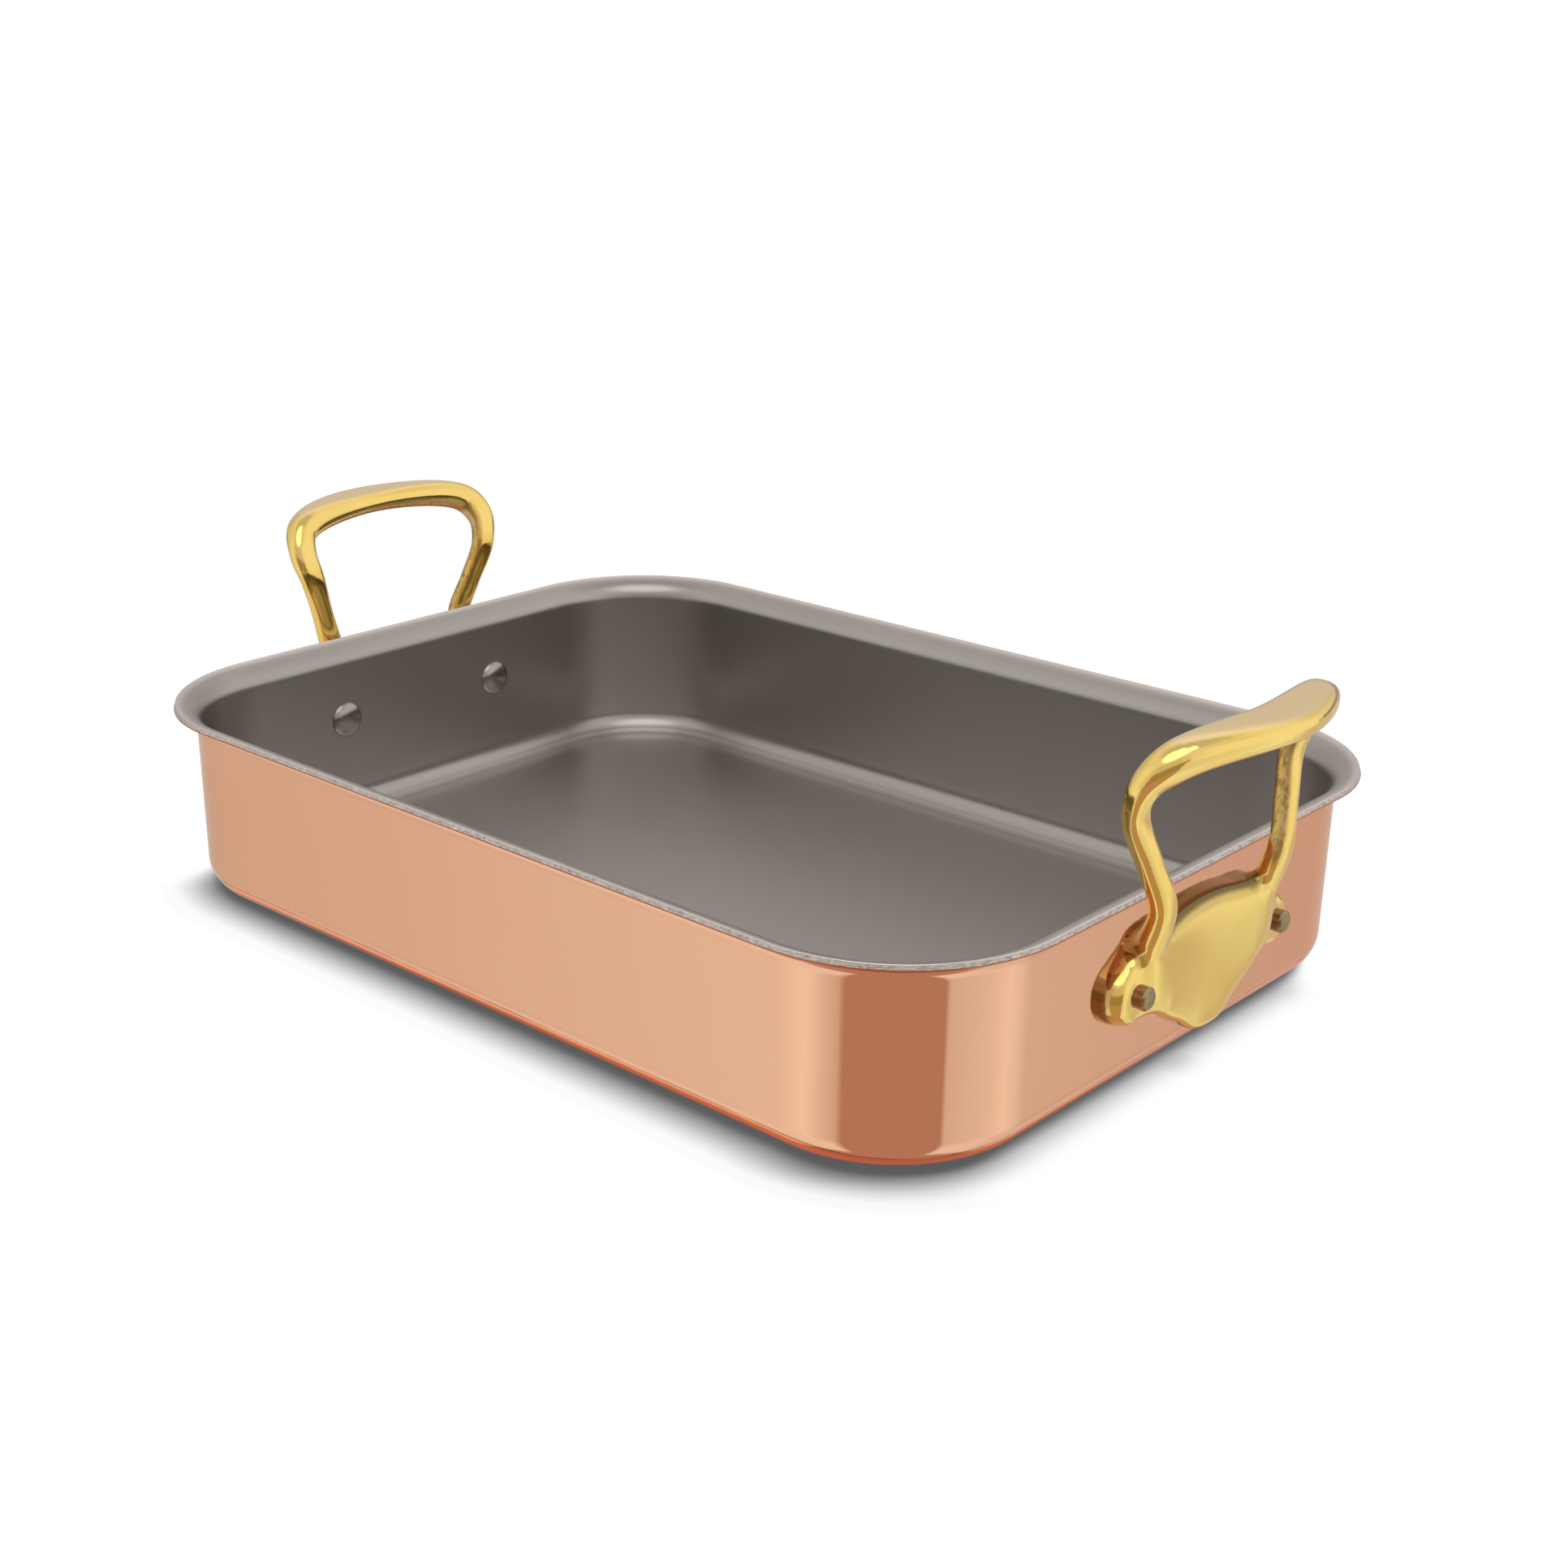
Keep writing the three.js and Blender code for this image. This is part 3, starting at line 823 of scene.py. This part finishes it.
steel_pin = finish("turned_steel", turned_steel)
for end, side in ENDS:
    for row, way in (("front", -1), ("back", 1)):
        pin = rivet_shape()
        pin.transform(wall_frame(side) @ Matrix.Translation((0, side * way * RIVET_SPACING / 2, 0)))
        rivet = piece(f"pin_{end}_{row}", pin, f"rivet_{end}_{row}")
        rivet.visible_glossy = False
        rivet.data.set_sharp_from_angle(angle=RIVET_SHARP_ANGLE)
        rivet.data.materials.append(steel_pin)

# Stage: a white sweep under the pan and a bright studio that the metal mirrors.
# The side toward the camera is a dim, warm gap between two white walls.

FLOOR_SIZE = 12
FLOOR_DROP = 0.2 * MM
SHADOW_REACH = 16 * MM
SHADOW_SAMPLES = 32
SHADOW_FADES = 17 * MM
SHADOW_ENDS = 19 * MM
SKY_LEAN = (0.14, 0.24, 0.96)
VIEW_EAST = 0.678
VIEW_NORTH = 0.735
GAP = (0.5, 0.33, 0.27)
DUSK = (0.37, 0.28, 0.18)
LAMP_PLACE = Vector((0.36, -0.45, 1.36))
LAMP_SIZE = 1.3
LAMP_POWER = 3.6


def white_paper():
    """Plain white to the camera, apart from a shadow close round the foot of the pan."""
    paper = bpy.data.materials.new("white_paper")
    paper.use_nodes = True
    nodes = paper.node_tree.nodes
    nodes.clear()
    ground = Wire(paper.node_tree, nodes.new("ShaderNodeTexCoord").outputs["Object"])
    along, across = ground.axes()[:2]
    past_x, past_y = past_straights(ground)
    away = past_x.hypot(past_y) - CORNER_RADIUS
    leaning = ground.node("CombineXYZ", {}, dict(enumerate(SKY_LEAN)))
    reach = {"Distance": SHADOW_REACH, "Normal": leaning}
    open_sky = ground.node("AmbientOcclusion", {"samples": SHADOW_SAMPLES}, reach, 1)
    # The shadow is darkest and widest on the lee side, toward the camera, and thin elsewhere.
    lee = along * 0.68 - across * 0.73
    lee_side = (along * 0.5 - across * 0.86).ease(0.005, 0.035)
    front_side = (-across).ease(0.09, 0.115)
    dark_end = lee.ease(0.172, 0.192) * 0.21 - front_side * 0.06 + 0.19
    light_end = lee_side * (front_side * 0.135 + 0.47) + 0.5
    shade = open_sky.ease(dark_end, light_end) * 0.895 + 0.105
    shadow = ground.node("Emission", {}, {"Color": shade, "Strength": 1.0})
    white = ground.node("Emission", {}, {"Color": (1, 1, 1, 1), "Strength": 1.0})
    outside = away.ease(SHADOW_FADES, SHADOW_ENDS)
    swept = ground.node("MixShader", {}, {0: outside, 1: shadow, 2: white})
    lit = ground.node("BsdfDiffuse", {}, {"Color": (0.9, 0.9, 0.9, 1)})
    seen = Wire(paper.node_tree, nodes.new("ShaderNodeLightPath").outputs["Is Camera Ray"])
    mixed = ground.node("MixShader", {}, {0: seen, 1: lit, 2: swept})
    ground.feed(nodes.new("ShaderNodeOutputMaterial").inputs["Surface"], mixed)
    return paper


def grey(level):
    return (level, level, level)


def studio():
    """White to the camera; a mirror sees walls, backdrop and table by bearing and by height."""
    world = bpy.data.worlds.new("studio")
    world.use_nodes = True
    nodes = world.node_tree.nodes
    nodes.clear()
    ray = Wire(world.node_tree, nodes.new("ShaderNodeTexCoord").outputs["Generated"])
    east, north, rise = ray.axes()
    bearing = ray.sum("ARCTAN2", north, east) / (2 * math.pi) + 0.5

    def panorama(*stops):
        places = [(degrees / 360 + 0.5, colour) for degrees, colour in stops]
        return ray.node("ValToRGB", {"stops": places}, {0: bearing})

    walls = panorama(
        (-180, (0.66, 0.62, 0.6)),
        (-146, (0.73, 0.69, 0.67)),
        (-132, grey(0.86)),
        (-110, grey(1.0)),
        (-100, grey(0.85)),
        (-86, (0.7, 0.63, 0.58)),
        (-82, GAP),
        (-14, GAP),
        (-11, (0.74, 0.72, 0.7)),
        (25, grey(0.88)),
        (35, grey(0.98)),
        (46, (0.86, 0.89, 0.9)),
        (63, (0.66, 0.58, 0.55)),
        (180, (0.66, 0.62, 0.6)),
    )
    backdrop = panorama(
        (-180, (0.62, 0.582, 0.56)),
        (-120, (0.93, 0.905, 0.885)),
        (-84, (0.66, 0.585, 0.53)),
        (-30, (0.66, 0.585, 0.53)),
        (5, (0.965, 0.935, 0.91)),
        (65, (0.975, 0.94, 0.915)),
        (105, (0.62, 0.582, 0.56)),
        (180, (0.62, 0.582, 0.56)),
    )
    table = panorama(
        (-180, grey(0.9)),
        (-90, grey(0.93)),
        (-82, GAP),
        (-14, GAP),
        (-8, grey(0.93)),
        (25, grey(0.9)),
        (40, grey(0.8)),
        (180, grey(0.9)),
    )
    inward = north * VIEW_NORTH - east * VIEW_EAST
    toward_camera = -(inward / east.hypot(north))
    # From the table up to the ceiling, each layer is laid over the one before it.
    paper_edge = (-rise).ease(0.5, 0.7).blend(walls, table)
    ground_level = (-rise).ease(0.86, 0.92).blend(paper_edge, (*GAP, 1))
    horizon = rise.ease(-0.3, -0.1).blend(ground_level, backdrop)
    dusk_height = rise.ease(-0.41, -0.36) * (-rise).ease(-0.25, -0.05)
    dusk = toward_camera.ease(0.8, 0.83) * dusk_height
    front = dusk.blend(horizon, (*DUSK, 1))
    skirting_height = rise.ease(-0.22, -0.16) * (-rise).ease(-0.06, 0.02)
    skirting = skirting_height * inward.ease(0.4, 0.6)
    behind = skirting.blend(front, (0.36, 0.335, 0.315, 1))
    above = north.ease(0.3, 0.65).blend((0.82, 0.775, 0.745, 1), (0.93, 0.88, 0.85, 1))
    upper = rise.ease(0.5, 0.7).blend(behind, above)
    ceiling = rise.ease(0.8, 0.92).blend(upper, (0.6, 0.575, 0.555, 1))
    # Rays that go down and inward, off the rounded base edge, meet the dark under the pan.
    below = inward.ease(0.4, 0.9).blend((0.62, 0.36, 0.28, 1), (0.26, 0.13, 0.1, 1))
    beneath = (inward - (rise + 1) * 1.67).ease(-0.08, 0.08)
    mirrored = beneath.blend(ceiling, below)
    path = nodes.new("ShaderNodeLightPath").outputs
    camera_ray = Wire(world.node_tree, path["Is Camera Ray"])
    glossy_ray = Wire(world.node_tree, path["Is Glossy Ray"])
    clear_ray = Wire(world.node_tree, path["Is Transmission Ray"])
    fill = glossy_ray.blend((0.8, 0.8, 0.8, 1), mirrored)
    shown = ray.sum("MAXIMUM", camera_ray, clear_ray).blend(fill, (1, 1, 1, 1))
    light = ray.node("Background", {}, {"Color": shown, "Strength": 1.0})
    ray.feed(nodes.new("ShaderNodeOutputWorld").inputs["Surface"], light)
    return world


floor_shape = bmesh.new()
bmesh.ops.create_grid(floor_shape, x_segments=1, y_segments=1, size=FLOOR_SIZE)
floor_mesh = bpy.data.meshes.new("sweep")
floor_shape.to_mesh(floor_mesh)
floor_shape.free()
sweep = bpy.data.objects.new("sweep", floor_mesh)
bpy.context.scene.collection.objects.link(sweep)
sweep.location.z = -FLOOR_DROP
sweep.visible_glossy = False
sweep.data.materials.append(white_paper())
bpy.context.scene.world = studio()

lamp = bpy.data.lights.new("front_light", "AREA")
lamp.shape = "DISK"
lamp.size = LAMP_SIZE
lamp.energy = LAMP_POWER
softbox = bpy.data.objects.new("front_light", lamp)
bpy.context.scene.collection.objects.link(softbox)
softbox.location = LAMP_PLACE
softbox.rotation_euler = (-LAMP_PLACE).to_track_quat("-Z", "Y").to_euler()

# Camera: a moderate lens above the near corner, where the photograph was taken from.
# Its lens, place and turns come from a fit to the rim, the base edge and the walls.

CAMERA_PLACE = (0.4806, -0.5290, 0.3046)
CAMERA_AZIMUTH = math.radians(42.66)
CAMERA_ELEVATION = math.radians(20.90)
CAMERA_ROLL = math.radians(0.36)

eye = bpy.data.cameras.new("camera")
eye.lens = 50.42
eye.sensor_width = 36
eye.shift_x = 0.03457
eye.shift_y = 0.02213
camera = bpy.data.objects.new("camera", eye)
bpy.context.scene.collection.objects.link(camera)
heading = Matrix.Rotation(CAMERA_AZIMUTH, 4, "Z")
tilt = Matrix.Rotation(math.pi / 2 - CAMERA_ELEVATION, 4, "X")
roll = Matrix.Rotation(CAMERA_ROLL, 4, "Z")
camera.matrix_world = Matrix.Translation(CAMERA_PLACE) @ heading @ tilt @ roll
bpy.context.scene.camera = camera
bpy.context.scene.view_settings.view_transform = "Standard"
